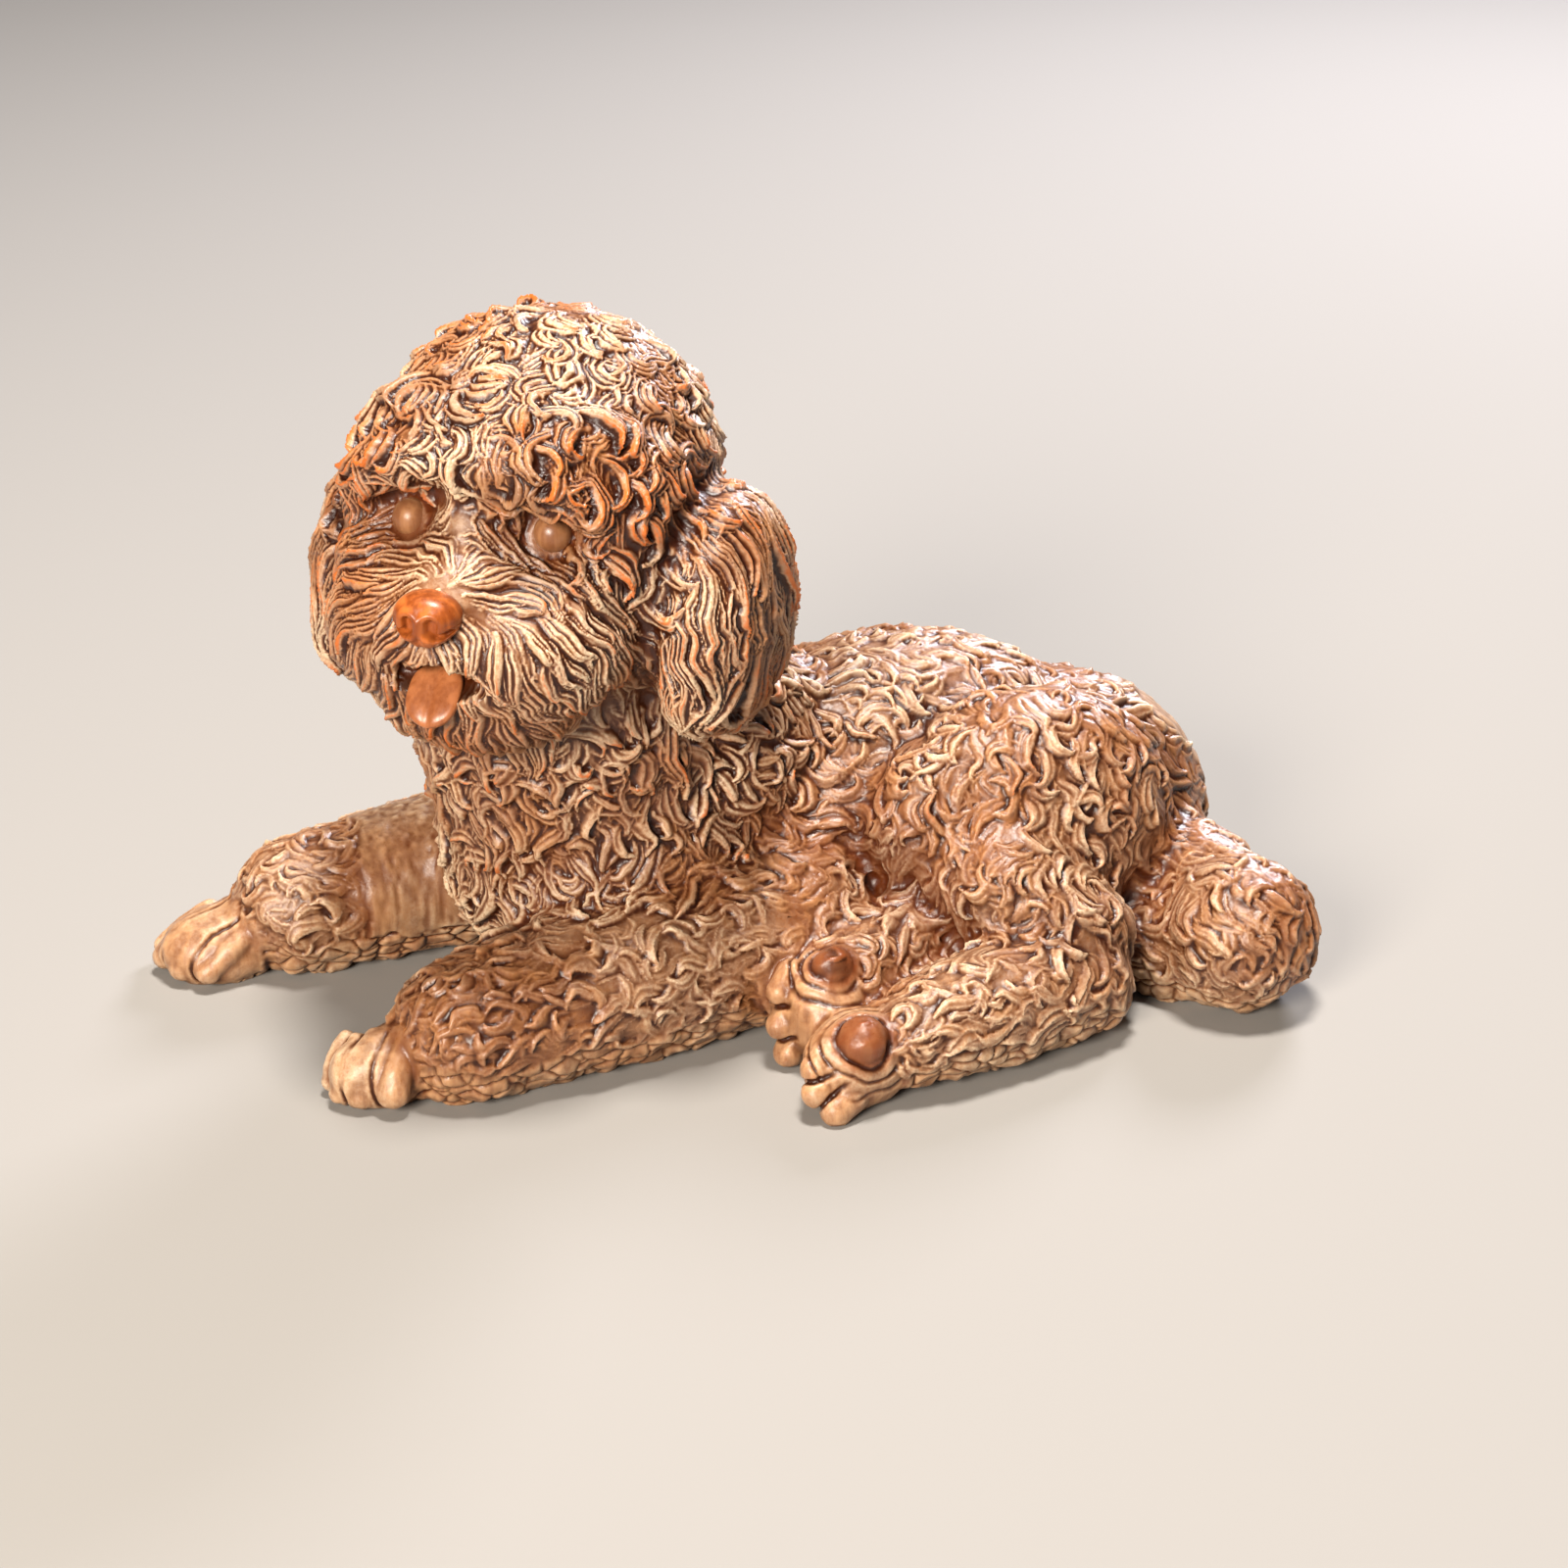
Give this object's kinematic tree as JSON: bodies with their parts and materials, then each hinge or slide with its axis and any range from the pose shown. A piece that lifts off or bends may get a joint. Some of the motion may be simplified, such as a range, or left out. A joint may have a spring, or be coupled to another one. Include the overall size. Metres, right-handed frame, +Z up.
{
  "type": "carved dog figurine",
  "caption": "Small figurine of a curly-coated dog lying down, its head turned to its left, carved from solid wood.",
  "frame": {"origin": "on the flat underside, below the belly, where the figure stands", "axes": "-X is the way the body and the forelegs point, -Y is the dog's left side, +Z is up from the ground"},
  "size_m": [0.0664, 0.0373, 0.0429],
  "materials": {
    "carved_wood": "hand-rubbed wax, dusty in the grooves"
  },
  "bodies": {
    "root": {"carved_poodle": "carved_wood"}
  },
  "joints": []
}
